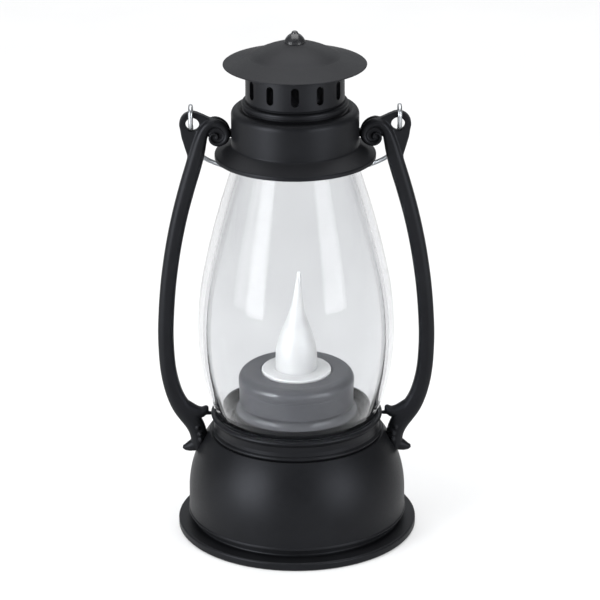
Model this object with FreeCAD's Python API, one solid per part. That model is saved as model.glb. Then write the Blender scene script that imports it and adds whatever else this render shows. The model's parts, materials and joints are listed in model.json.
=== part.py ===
import FreeCAD, Part
import math
import os

# Small battery lantern in the shape of a hurricane (barn) lantern.
# Millimetres.  +Z up, origin on the floor under the middle of the foot.
# The two side arms lie in the XZ plane; the bail swings about X.

V = FreeCAD.Vector
UP = V(0, 0, 1)

# ---------------------------------------------------------------- main sizes
TOTAL_H = 125.0          # floor to the tip of the finial
FOOT_R = 29.05           # foot flange
FOOT_TOP = 4.1           # joint between the foot and the bowl
LEDGE_Z = 2.05           # top of the foot flange
FLOOR_LOW = 1.0          # underside of the floor inside the foot rim
FLOOR_TOP = 3.2
BOWL_R = 26.35           # widest bowl radius
BOWL_CR = 1.3            # bowl arc: centre radius, centre height, arc radius
BOWL_CZ = 9.37
BOWL_ARC = 25.05
WALL = 1.8               # bowl wall
BOWL_TOP = 24.6          # joint between the bowl and the neck ring
HOLE_R = 19.5            # round hole in the top of the bowl
NECK_RIM = 29.6          # lip of the neck ring
NECK_R = 20.78           # its outer edge
SEAT_Z = 27.0            # floor of the globe groove
PLINTH_R = 15.2
PLINTH_TOP = 30.6        # the candle cup stands here
FIT = 0.07               # gap of a push fit
TIP_FLAT = 0.12          # rounded tips end in a flat of this radius

# globe: height and outer radius along the wall
GLOBE_LOW = 27.05
GLOBE_TOP = 97.4
GLOBE_WALL = 2.0
GLOBE_PROFILE = ((27.05, 18.3), (33.5, 20.9), (41.5, 22.9), (50.5, 23.6), (60.6, 22.95),
                 (71.0, 20.95), (83.0, 17.8), (94.7, 14.1), (97.4, 13.3))
GLOBE_FOOT_IN = 15.65    # the wall thickens inwards at the foot
GLOBE_FOOT_TOP = 31.5

# candle and flame
CUP_R = 14.05
CUP_TOP = 40.3
DISC_R = 8.4
DISC_LOW = 39.6
DISC_TOP = 40.6
LED_R = 2.5
FLAME_PROFILE = ((40.9, 4.85), (44.2, 4.95), (48.0, 4.35), (52.0, 3.0), (56.0, 1.8), (61.0, 0.95),
                 (65.0, 0.5))
FLAME_TIP = 65.6

# collar, chimney, roof, finial
LIP_R = 19.05
LIP_LOW = 94.45
LIP_EDGE = 95.15         # top of the upright edge of the skirt
COLLAR_R = 15.08
COLLAR_FOOT = 97.65      # the skirt starts here
COLLAR_SHOULDER = 106.6
COLLAR_TOP = 108.4
CHIMNEY_R = 11.66
CHIMNEY_WALL = 1.2
CHIMNEY_TOP = 117.85
SLOT_COUNT = 12
SLOT_W = 1.85
SLOT_LOW = 110.0
SLOT_HIGH = 114.5
ROOF_R = 16.87
ROOF_LOW = 116.87        # underside of the rim
ROOF_EDGE = 0.3
ROOF_CREASE_R = 10.6
ROOF_CREASE_Z = 119.1
ROOF_PEAK_Z = 122.25
FINIAL_R = 2.45

# arms
ARM_T = 3.4              # bar thickness front to back
EYE_T = 1.8              # eye plate thickness
EYE_X = 24.15
EYE_Z = 102.45
EYE_R = 3.1
EYE_HOLE_R = 1.65
SCROLL_X = 18.0
SCROLL_Z = 100.6
SCROLL_R = 3.65

# bail
WIRE_R = 0.55
RING_X = 24.5            # the hooks hang towards the outside of the eyes
RING_R = 1.9             # centre-line radius of the hook ring
RING_TOP_Z = 104.8       # centre of the ring's upper bend
RING_LOW_Z = 103.42      # centre of the ring's lower bend
TAIL_Z = 103.4
LEG_OUT = 0.6            # straight run out of the eye before the bend
LEG_BEND_R = 2.0
LEG_TILT = math.radians(47.0)
LEG_LEN = 7.0
BOW_SHOULDER_R = 13.0    # tighter bend at each end of the bow
BOW_R = 30.0             # flatter bend across the middle

# batteries and electrics
CELL_R = 5.8
CELL_H = 5.4
CELL_Z = 8.6
WELL_Y = -6.0
WELL_X2 = 9.6            # half length of the well inside
WELL_Y2 = 6.2            # half width of the well inside
WELL_T = 1.2
WELL_TOP = 12.0
DOOR_T = 1.4
DOOR_X0 = -11.6
DOOR_X1 = 15.4
DOOR_Y2 = 7.0
DOOR_GAP = 0.15
DOOR_SCREW_X = 13.0
BASE_SCREW_AT = 20.3
BASE_SCREW_ANGLES = (90.0, 210.0, 330.0)
SWITCH_Y = 11.0
KNOB_OFF_X = -1.0        # the knob is at rest in the off position
LEAD_R = 0.5
LED_PIN_X = 1.27         # half the spacing of the LED's legs
LED_HOLE_R = 3.1         # hole for the LED in the cup's top
NECK_BORE = 13.8
BOARD_R = 8.1
BOARD_LOW = 34.0
BOARD_T = 1.0


# ---------------------------------------------------------------- helpers
def at(r, z):
    return V(r, 0, z)


def lathe(steps):
    """Turn a closed outline about Z.  A step is (r, z), or (rm, zm, r, z) for an arc."""
    edges = []
    first = at(steps[0][-2], steps[0][-1])
    here = first
    for step in steps[1:] + steps[:1]:
        end = at(step[-2], step[-1])
        if len(step) == 4:
            edges.append(Part.Arc(here, at(step[0], step[1]), end).toShape())
        elif here.distanceToPoint(end) > 1e-6:
            edges.append(Part.LineSegment(here, end).toShape())
        here = end
    return Part.Face(Part.Wire(edges)).revolve(V(0, 0, 0), UP, 360)


def lathe_edges(edges):
    return Part.Face(Part.Wire(edges)).revolve(V(0, 0, 0), UP, 360)


def spline(points):
    curve = Part.BSplineCurve()
    curve.interpolate([V(*p) for p in points])
    return curve.toShape()


def line(a, b):
    return Part.LineSegment(V(*a), V(*b)).toShape()


def rod(r, z0, z1, x=0.0, y=0.0):
    return Part.makeCylinder(r, z1 - z0, V(x, y, z0), UP)


def block(x0, x1, y0, y1, z0, z1):
    return Part.makeBox(x1 - x0, y1 - y0, z1 - z0, V(x0, y0, z0))


def bowl_radius(z, inset=0.0):
    return BOWL_CR + math.sqrt((BOWL_ARC - inset) ** 2 - (z - BOWL_CZ) ** 2)


def bowl_height(r, inset=0.0):
    return BOWL_CZ + math.sqrt((BOWL_ARC - inset) ** 2 - (r - BOWL_CR) ** 2)


def bowl_solid(grow=0.0):
    """The bowl filled in, as a tool for trimming."""
    z_mid = 18.0
    return lathe([
        (0, FOOT_TOP),
        (BOWL_R + grow, FOOT_TOP),
        (BOWL_R + grow, BOWL_CZ),
        (bowl_radius(z_mid, -grow), z_mid, bowl_radius(BOWL_TOP, -grow), BOWL_TOP),
        (0, BOWL_TOP),
    ])


def tube(path_edges, r):
    path = Part.Wire(path_edges)
    start = path.Vertexes[0].Point
    ahead = path_edges[0].tangentAt(path_edges[0].FirstParameter)
    ring = Part.Wire(Part.makeCircle(r, start, ahead))
    return path.makePipeShell([ring], True, False)


def lead(points, bend):
    """Round wire through the points, every corner turned with the same bend radius."""
    pts = [V(*p) for p in points]
    edges = []
    here = pts[0]
    for before, corner, after in zip(pts, pts[1:], pts[2:]):
        back = (before - corner).normalize()
        on = (after - corner).normalize()
        half = back.getAngle(on) / 2.0
        cut = bend / math.tan(half)
        a = corner + back * cut
        b = corner + on * cut
        inward = (back + on).normalize()
        m = corner + inward * (bend / math.sin(half) - bend)
        edges.append(Part.LineSegment(here, a).toShape())
        edges.append(Part.Arc(a, m, b).toShape())
        here = b
    edges.append(Part.LineSegment(here, pts[-1]).toShape())
    return tube(edges, LEAD_R)


def mirrored(shape):
    return shape.mirror(V(0, 0, 0), V(1, 0, 0))


def polar(radius, degrees):
    a = math.radians(degrees)
    return radius * math.cos(a), radius * math.sin(a)


# ---------------------------------------------------------------- base
def base_shell():
    lip = 0.22
    inner = BOWL_R - WALL
    z_mid = 18.0
    shell = lathe([
        (inner, FOOT_TOP),
        (BOWL_R, FOOT_TOP),
        (BOWL_R + lip, FOOT_TOP + 0.5 * lip),
        (BOWL_R + lip, FOOT_TOP + 1.5 * lip),
        (BOWL_R, FOOT_TOP + 3.0 * lip),
        (BOWL_R, BOWL_CZ),
        (bowl_radius(z_mid), z_mid, bowl_radius(BOWL_TOP), BOWL_TOP),
        (HOLE_R, BOWL_TOP),
        (HOLE_R, bowl_height(HOLE_R, WALL)),
        (bowl_radius(z_mid, WALL), z_mid, inner, BOWL_CZ),
    ])
    boss_r = 2.5
    boss_top = 22.0
    pilot_r = 0.95
    pilot_top = 12.0
    filled = bowl_solid(-0.4)
    for angle in BASE_SCREW_ANGLES:
        x, y = polar(BASE_SCREW_AT, angle)
        boss = rod(boss_r, FLOOR_TOP, boss_top, x, y)
        low = boss.common(rod(BOWL_R, 0, FOOT_TOP))
        shell = shell.fuse(boss.common(filled)).fuse(low)
        shell = shell.cut(rod(pilot_r, FLOOR_TOP - 1, pilot_top, x, y))
    for side in (-1, 1):
        shell = shell.cut(arm_foot_peg(side, FIT))
    return shell.removeSplitter()


def foot_plate():
    spigot_out = BOWL_R - WALL - FIT
    spigot_in = spigot_out - 1.2
    spigot_top = 6.6
    rim_in = 26.4
    cove_in = 25.0           # the bowl overhangs the foot's wall
    edge = 0.5               # rounding of the flange
    foot = lathe([
        (0, FLOOR_LOW),
        (rim_in - 0.4, FLOOR_LOW),
        (rim_in, 0),
        (FOOT_R - 0.3, 0),
        (FOOT_R, 0.35),
        (FOOT_R, LEDGE_Z - edge),
        (FOOT_R - 0.29 * edge, LEDGE_Z - 0.29 * edge, FOOT_R - edge, LEDGE_Z),
        (cove_in + 0.45, LEDGE_Z + 0.05),
        (cove_in + 0.13, LEDGE_Z + 0.18, cove_in, LEDGE_Z + 0.5),
        (cove_in, FOOT_TOP),
        (spigot_out, FOOT_TOP),
        (spigot_out, spigot_top - 0.3),
        (spigot_out - 0.3, spigot_top),
        (spigot_in, spigot_top),
        (spigot_in, FLOOR_TOP),
        (0, FLOOR_TOP),
    ])
    door_boss_r = 2.2
    door_boss_top = 7.6
    cheek_t = 0.5
    cheek_top = 6.2
    slot_x2 = 2.5
    slot_y2 = 1.05
    screw_hole_r = 1.3
    screw_sink_r = 2.1
    well_out = block(-WELL_X2 - WELL_T, WELL_X2 + WELL_T, WELL_Y - WELL_Y2 - WELL_T,
                     WELL_Y + WELL_Y2 + WELL_T, FLOOR_TOP, WELL_TOP)
    boss = rod(door_boss_r, FLOOR_TOP, door_boss_top, DOOR_SCREW_X, WELL_Y)
    foot = foot.fuse(well_out).fuse(boss)
    for side in (-1, 1):
        y0 = SWITCH_Y + side * 2.8
        foot = foot.fuse(block(-3.0, 3.0, y0 - cheek_t, y0 + cheek_t, FLOOR_TOP, cheek_top))
    foot = foot.cut(block(-WELL_X2, WELL_X2, WELL_Y - WELL_Y2, WELL_Y + WELL_Y2, 0, WELL_TOP + 1))
    foot = foot.cut(block(DOOR_X0 - DOOR_GAP, DOOR_X1 + DOOR_GAP, WELL_Y - DOOR_Y2 - DOOR_GAP,
                          WELL_Y + DOOR_Y2 + DOOR_GAP, 0, FLOOR_LOW + DOOR_T))
    foot = foot.cut(door_tab(DOOR_GAP))
    foot = foot.cut(rod(1.0, 0, 8, DOOR_SCREW_X, WELL_Y))
    foot = foot.cut(block(-slot_x2, slot_x2, SWITCH_Y - slot_y2, SWITCH_Y + slot_y2, 0, FLOOR_TOP))
    for angle in BASE_SCREW_ANGLES:
        x, y = polar(BASE_SCREW_AT, angle)
        foot = foot.cut(rod(screw_hole_r, 0, FLOOR_TOP + 1, x, y))
        foot = foot.cut(rod(screw_sink_r, 0, FLOOR_LOW + 1.0, x, y))
    return foot.removeSplitter()


def door_tab(grow=0.0):
    """Tongue at the left end of the battery door, tucked behind the floor."""
    length = 1.6
    y2 = 2.5
    return block(DOOR_X0 - length - grow, DOOR_X0 + 0.2, WELL_Y - y2 - grow, WELL_Y + y2 + grow,
                 FLOOR_LOW + 0.7 - grow, FLOOR_LOW + DOOR_T)


def battery_door():
    door = block(DOOR_X0, DOOR_X1, WELL_Y - DOOR_Y2, WELL_Y + DOOR_Y2, FLOOR_LOW, FLOOR_LOW + DOOR_T)
    uprights = [e for e in door.Edges if abs(e.tangentAt(e.FirstParameter).z) > 0.9]
    door = door.makeFillet(0.6, uprights)
    hole_r = 1.1
    sink_r = 1.95
    door = door.cut(rod(hole_r, 0, 4, DOOR_SCREW_X, WELL_Y))
    door = door.cut(rod(sink_r, 0, FLOOR_LOW + 0.55, DOOR_SCREW_X, WELL_Y))
    grip_count = 4
    grip_pitch = 1.2
    for i in range(grip_count):
        x = DOOR_X0 + 2.0 + grip_pitch * i
        door = door.cut(block(x - 0.25, x + 0.25, WELL_Y - 3.5, WELL_Y + 3.5, 0, FLOOR_LOW + 0.3))
    return door.removeSplitter()


def screw(x, y, head_low, head_r, head_t, shank_r, tip):
    """Pan-head screw standing on its head, cross recess in the underside."""
    body = lathe([
        (0, head_low),
        (head_r - 0.35, head_low),
        (head_r - 0.1, head_low + 0.1, head_r, head_low + 0.4),
        (head_r, head_low + head_t),
        (shank_r, head_low + head_t),
        (shank_r, tip - 0.8),
        (0.2, tip),
        (0, tip),
    ])
    for a in (0, 90):
        arm = block(-head_r * 0.6, head_r * 0.6, -0.2, 0.2, head_low - 1, head_low + head_t * 0.55)
        arm.rotate(V(0, 0, 0), UP, a + 20)
        body = body.cut(arm)
    body.translate(V(x, y, 0))
    return body


def base_screws():
    made = []
    for angle in BASE_SCREW_ANGLES:
        x, y = polar(BASE_SCREW_AT, angle)
        made.append(screw(x, y, FLOOR_LOW + 0.1, 1.95, 0.9, 0.9, 10.5))
    return Part.makeCompound(made)


def battery_door_screw():
    return screw(DOOR_SCREW_X, WELL_Y, FLOOR_LOW - 0.35, 1.8, 0.9, 0.94, 7.0)


# ---------------------------------------------------------------- electrics
def button_cell(index):
    """Button cell lying on its rim, flat ends facing along X."""
    pitch = CELL_H + 0.02
    x = (index - 1) * pitch - CELL_H / 2.0
    can = 3.9
    cell = Part.makeCylinder(CELL_R, can, V(x, WELL_Y, CELL_Z), V(1, 0, 0))
    neck = Part.makeCylinder(CELL_R - 0.55, 0.35, V(x + can, WELL_Y, CELL_Z), V(1, 0, 0))
    cap = Part.makeCylinder(CELL_R - 0.8, CELL_H - can - 0.35, V(x + can + 0.35, WELL_Y, CELL_Z), V(1, 0, 0))
    cap_edges = [e for e in cap.Edges if abs(e.CenterOfMass.x - (x + CELL_H)) < 1e-3]
    cap = cap.makeFillet(0.3, cap_edges)
    can_edges = [e for e in cell.Edges if abs(e.CenterOfMass.x - x) < 1e-3]
    cell = cell.makeFillet(0.4, can_edges)
    return cell.fuse(neck).fuse(cap).removeSplitter()


def contact(side):
    """Bent leaf: flat against the well wall, bowed towards the cells, solder tab on top."""
    t = 0.25
    tab_top = 14.6
    width = 6.0
    wall = side * (WELL_X2 - 0.05)
    face = side * (3 * CELL_H / 2.0 + 0.12)
    low = CELL_Z - 3.8
    high = CELL_Z + 3.2
    outline = [
        V(wall, 0, low), V(wall, 0, tab_top), V(wall - side * t, 0, tab_top), V(wall - side * t, 0, high),
        V(face, 0, CELL_Z + 0.8), V(face, 0, CELL_Z - 0.8), V(wall - side * 1.0, 0, low + 0.4),
        V(wall - side * t, 0, low), V(wall, 0, low),
    ]
    leaf = Part.Face(Part.makePolygon(outline)).extrude(V(0, width, 0))
    inner = [
        V(wall - side * t, 0, high - 0.5), V(face + side * t, 0, CELL_Z + 0.7),
        V(face + side * t, 0, CELL_Z - 0.7), V(wall - side * t, 0, low + 0.6),
        V(wall - side * t, 0, high - 0.5),
    ]
    leaf = leaf.cut(Part.Face(Part.makePolygon(inner)).extrude(V(0, width, 0)))
    leaf.translate(V(0, WELL_Y - width / 2.0, 0))
    return leaf.removeSplitter()


def switch_body():
    top = 6.9
    pin_r = 0.4
    pin_top = 8.4
    pin_pitch = 2.6
    body = block(-4.3, 4.3, SWITCH_Y - 2.2, SWITCH_Y + 2.2, FLOOR_TOP, top)
    body = body.cut(block(-3.3, 3.3, SWITCH_Y - 1.6, SWITCH_Y + 1.6, FLOOR_TOP - 1, 5.2))
    for x in (-pin_pitch, 0.0, pin_pitch):
        body = body.fuse(rod(pin_r, top, pin_top, x, SWITCH_Y))
    return body.removeSplitter()


def switch_knob():
    carriage = block(-1.7, 1.7, SWITCH_Y - 1.35, SWITCH_Y + 1.35, FLOOR_TOP + 0.2, FLOOR_TOP + 1.6)
    stem = block(-1.0, 1.0, SWITCH_Y - 0.8, SWITCH_Y + 0.8, 0.5, FLOOR_TOP + 0.3)
    knob = carriage.fuse(stem).removeSplitter()
    tip_edges = [e for e in knob.Edges if abs(e.CenterOfMass.z - 0.5) < 1e-3]
    knob = knob.makeFillet(0.25, tip_edges)
    for x in (-0.5, 0.5):
        knob = knob.cut(block(x - 0.15, x + 0.15, SWITCH_Y - 2, SWITCH_Y + 2, 0, 0.7))
    knob.translate(V(KNOB_OFF_X, 0, 0))
    return knob


def led_board():
    board = rod(BOARD_R, BOARD_LOW, BOARD_LOW + BOARD_T)
    for x in (-LED_PIN_X, LED_PIN_X):
        board = board.cut(rod(0.45, BOARD_LOW - 1, BOARD_LOW + BOARD_T + 1, x, 0))
    return board


def led_resistor():
    body = block(-1.6, 1.6, -5.3, -3.7, BOARD_LOW - 0.6, BOARD_LOW)
    return body.makeChamfer(0.08, [e for e in body.Edges if abs(e.tangentAt(e.FirstParameter).x) > 0.9])


def led():
    flange_low = 38.6
    flange_t = 0.9
    straight_top = 44.7
    body = lathe([
        (0, flange_low),
        (LED_R + 0.4, flange_low),
        (LED_R + 0.4, flange_low + flange_t),
        (LED_R, flange_low + flange_t),
        (LED_R, straight_top),
        (LED_R * 0.7071, straight_top + LED_R * 0.7071, TIP_FLAT, straight_top + LED_R),
        (0, straight_top + LED_R),
    ])
    for x in (-LED_PIN_X, LED_PIN_X):
        body = body.fuse(rod(0.3, BOARD_LOW - 0.5, flange_low + 0.1, x, 0))
    return body.removeSplitter()


def lead_positive():
    x = WELL_X2 + LEAD_R
    return lead([(-x, WELL_Y, 12.7), (-x, WELL_Y, 19.0), (-3.0, -2.0, 25.5), (-3.0, -2.0, BOARD_LOW)], 4.0)


def lead_negative():
    x = WELL_X2 + LEAD_R
    return lead([(x, WELL_Y, 12.7), (x, WELL_Y, 17.5), (x, 4.0, 17.5), (2.6, SWITCH_Y, 15.0),
                 (2.6, SWITCH_Y, 8.4)], 3.5)


def lead_switched():
    return lead([(0, SWITCH_Y, 8.4), (0, SWITCH_Y, 17.0), (3.0, 2.0, 25.5), (3.0, 2.0, BOARD_LOW)], 4.0)


# ---------------------------------------------------------------- candle
def candle_cup():
    wall = 1.5
    inner = CUP_R - wall
    under = 38.2
    line_z = 37.0
    flare = 0.7
    cup = lathe([
        (inner, PLINTH_TOP),
        (CUP_R + flare, PLINTH_TOP),
        (CUP_R + 0.1, PLINTH_TOP + 0.5, CUP_R - 0.15, PLINTH_TOP + 2.2),
        (CUP_R - 0.15, line_z),
        (CUP_R - 0.02, line_z + 0.12),
        (CUP_R, CUP_TOP - 2.1),
        (CUP_R - 0.62, CUP_TOP - 0.62, CUP_R - 2.1, CUP_TOP - 0.05),
        (DISC_R + 0.6, CUP_TOP),
        (DISC_R + 0.2, CUP_TOP - 0.2),
        (DISC_R + 0.2, DISC_LOW),
        (LED_HOLE_R, DISC_LOW),
        (LED_HOLE_R, under),
        (inner, under),
    ])
    holder = rod(BOARD_R + 1.3, BOARD_LOW - 0.3, under + 0.3).cut(rod(BOARD_R + 0.05, BOARD_LOW - 1, under))
    holder = holder.cut(rod(LED_HOLE_R, BOARD_LOW - 1, CUP_TOP + 1))
    return cup.fuse(holder).removeSplitter()


def flame_diffuser():
    outer = [(r, 0, z) for z, r in FLAME_PROFILE]
    nose = FLAME_PROFILE[-1]
    skin = [
        line((2.65, 0, DISC_LOW), (DISC_R - 0.2, 0, DISC_LOW)),
        line((DISC_R - 0.2, 0, DISC_LOW), (DISC_R, 0, DISC_LOW + 0.2)),
        line((DISC_R, 0, DISC_LOW + 0.2), (DISC_R, 0, DISC_TOP - 0.2)),
        line((DISC_R, 0, DISC_TOP - 0.2), (DISC_R - 0.2, 0, DISC_TOP)),
        line((DISC_R - 0.2, 0, DISC_TOP), (5.4, 0, DISC_TOP)),
        line((5.4, 0, DISC_TOP), outer[0]),
        spline(outer),
        Part.Arc(at(nose[1], nose[0]), at(nose[1] * 0.7, FLAME_TIP - 0.1),
                 at(TIP_FLAT, FLAME_TIP)).toShape(),
        line((TIP_FLAT, 0, FLAME_TIP), (0, 0, FLAME_TIP)),
        line((0, 0, FLAME_TIP), (0, 0, 56.0)),
        line((0, 0, 56.0), (0.2, 0, 56.0)),
        spline([(0.2, 0, 56.0), (1.3, 0, 53.0), (2.9, 0, 49.0), (3.75, 0, 45.0), (3.5, 0, 41.5)]),
        line((3.5, 0, 41.5), (2.65, 0, 40.6)),
        line((2.65, 0, 40.6), (2.65, 0, DISC_LOW)),
    ]
    return lathe_edges(skin)


# ---------------------------------------------------------------- neck and globe
def neck_ring():
    lip_in = 19.7
    spigot_out = HOLE_R - FIT
    ring = lathe([
        (18.2, 22.4),
        (spigot_out - 0.3, 22.4),
        (spigot_out, 22.7),
        (spigot_out, BOWL_TOP),
        (20.25, BOWL_TOP),
        (20.72, 25.05, 20.4, 25.6),
        (20.15, 25.75),
        (20.05, 26.6),
        (20.2, 28.1),
        (NECK_R, 29.0),
        (NECK_R - 0.12, 29.4, NECK_R - 0.5, NECK_RIM),
        (lip_in + 0.15, NECK_RIM),
        (lip_in, NECK_RIM - 0.15),
        (lip_in, SEAT_Z),
        (PLINTH_R + 0.1, SEAT_Z),
        (PLINTH_R, PLINTH_TOP - 0.2),
        (PLINTH_R - 0.2, PLINTH_TOP),
        (CUP_R - 1.6, PLINTH_TOP),
        (CUP_R - 1.6, PLINTH_TOP + 1.3),
        (CUP_R - 2.6, PLINTH_TOP + 1.3),
        (CUP_R - 2.6, PLINTH_TOP),
        (5.0, PLINTH_TOP),
        (5.0, PLINTH_TOP - 1.6),
        (NECK_BORE, PLINTH_TOP - 1.6),
        (NECK_BORE, 26.0),
        (18.2, 24.8),
    ])
    for side in (-1, 1):
        ring = ring.cut(arm_nib(side, 0.03))
    return ring.removeSplitter()


def globe():
    outer = [(r, 0, z) for z, r in GLOBE_PROFILE]
    inner = [(r - GLOBE_WALL, 0, z) for z, r in GLOBE_PROFILE if z > GLOBE_FOOT_TOP]
    inner = [(GLOBE_FOOT_IN, 0, GLOBE_LOW + 0.6), (16.1, 0, 29.0), (17.3, 0, 30.4)] + inner
    wall = [
        spline(outer),
        line(outer[-1], inner[-1]),
        spline(inner[::-1]),
        line(inner[0], (GLOBE_FOOT_IN + 0.6, 0, GLOBE_LOW)),
        line((GLOBE_FOOT_IN + 0.6, 0, GLOBE_LOW), outer[0]),
    ]
    return lathe_edges(wall)


# ---------------------------------------------------------------- top
def top_collar():
    seat = 97.45
    bore = CHIMNEY_R + FIT
    inner = 13.5
    collar = lathe([
        (LIP_R - 0.9, LIP_LOW),
        (LIP_R, LIP_LOW),
        (LIP_R, LIP_EDGE),
        (LIP_R - 0.1, LIP_EDGE + 0.25, LIP_R - 0.35, LIP_EDGE + 0.4),
        (COLLAR_R + 0.35, COLLAR_FOOT - 0.2),
        (COLLAR_R + 0.12, COLLAR_FOOT - 0.02, COLLAR_R, COLLAR_FOOT + 0.25),
        (COLLAR_R, 104.8),
        (14.6, 106.1, 13.5, COLLAR_SHOULDER),
        (12.5, COLLAR_SHOULDER - 0.25),
        (12.2, COLLAR_SHOULDER - 0.05),
        (12.2, 106.95),
        (12.5, 107.15),
        (12.5, 107.55),
        (12.35, 108.15, bore + 0.15, COLLAR_TOP),
        (bore, COLLAR_TOP),
        (bore, 105.3),
        (inner, 105.3),
        (inner, 98.7),
        (10.6, 98.7),
        (10.6, seat),
        (13.75, seat),
        (13.95, 96.6),
        (16.0, 95.85, LIP_R - 0.9, LIP_LOW),
    ])
    for side in (-1, 1):
        collar = collar.cut(arm_top_peg(side, FIT))
    return collar.removeSplitter()


def vent_chimney():
    flange_r = 13.2
    flange_low = 104.1
    flange_top = 105.25
    inner = CHIMNEY_R - CHIMNEY_WALL
    tube_body = lathe([
        (inner, flange_low),
        (flange_r, flange_low),
        (flange_r, flange_top),
        (CHIMNEY_R, flange_top),
        (CHIMNEY_R, COLLAR_TOP + 0.05),
        (CHIMNEY_R - 0.12, COLLAR_TOP + 0.25),
        (CHIMNEY_R, COLLAR_TOP + 0.45),
        (CHIMNEY_R, CHIMNEY_TOP),
        (inner, CHIMNEY_TOP),
    ])
    half = SLOT_W / 2.0
    slot = block(0, 2 * CHIMNEY_R, -half, half, SLOT_LOW + half, SLOT_HIGH - half)
    for z in (SLOT_LOW + half, SLOT_HIGH - half):
        slot = slot.fuse(Part.makeCylinder(half, 2 * CHIMNEY_R, V(0, 0, z), V(1, 0, 0)))
    for i in range(SLOT_COUNT):
        cutter = slot.copy()
        cutter.rotate(V(0, 0, 0), UP, 360.0 * i / SLOT_COUNT)
        tube_body = tube_body.cut(cutter)
    return tube_body.removeSplitter()


def roof_cap():
    spigot_out = CHIMNEY_R - CHIMNEY_WALL - FIT
    under = CHIMNEY_TOP + 0.05
    crease = 0.25
    brim_slope = (ROOF_CREASE_Z - ROOF_LOW - ROOF_EDGE) / (ROOF_R - 0.15 - ROOF_CREASE_R)
    roof = lathe([
        (ROOF_CREASE_R - 1.6, under - 2.4),
        (spigot_out, under - 2.4),
        (spigot_out, under),
        (CHIMNEY_R + 0.3, under),
        (ROOF_R - 0.15, ROOF_LOW),
        (ROOF_R, ROOF_LOW + 0.1),
        (ROOF_R, ROOF_LOW + ROOF_EDGE - 0.1),
        (ROOF_R - 0.15, ROOF_LOW + ROOF_EDGE),
        (ROOF_CREASE_R + crease, ROOF_CREASE_Z - crease * brim_slope),
        (ROOF_CREASE_R - crease, ROOF_CREASE_Z + 0.16),
        (6.7, 121.0, 2.6, ROOF_PEAK_Z),
        (0.95, ROOF_PEAK_Z),
        (0.95, ROOF_PEAK_Z - 2.3),
        (2.2, ROOF_PEAK_Z - 2.3),
        (2.2, ROOF_PEAK_Z - 1.3),
        (ROOF_CREASE_R - 1.6, ROOF_CREASE_Z - 0.7),
    ])
    return roof.removeSplitter()


def finial():
    foot = ROOF_PEAK_Z
    return lathe([
        (0, foot - 2.2),
        (0.88, foot - 2.2),
        (0.88, foot),
        (FINIAL_R, foot),
        (FINIAL_R, foot + 0.35),
        (2.02, 123.4, 0.95, 124.35),
        (0.78, 124.5),
        (0.6, 124.86, TIP_FLAT, TOTAL_H),
        (0, TOTAL_H),
    ])


# ---------------------------------------------------------------- arms
def arm_foot_peg(side, grow=0.0):
    """Peg that glues the foot of an arm into the bowl."""
    peg = Part.makeCylinder(1.1 + grow, 4.6 + grow, V(25.6, 0, 20.6), V(-1, 0, -0.25))
    if side < 0:
        peg = mirrored(peg)
    return peg


def arm_top_peg(side, grow=0.0):
    peg = Part.makeCylinder(1.1 + grow, 4.0, V(17.4, 0, SCROLL_Z), V(-1, 0, 0))
    if side < 0:
        peg = mirrored(peg)
    return peg


def arm_nib(side, grow=0.0):
    nib = Part.makeCylinder(0.45 + grow, 2.6, V(22.6, 0, 28.75), V(-1, 0, 0))
    if side < 0:
        nib = mirrored(nib)
    return nib


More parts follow.
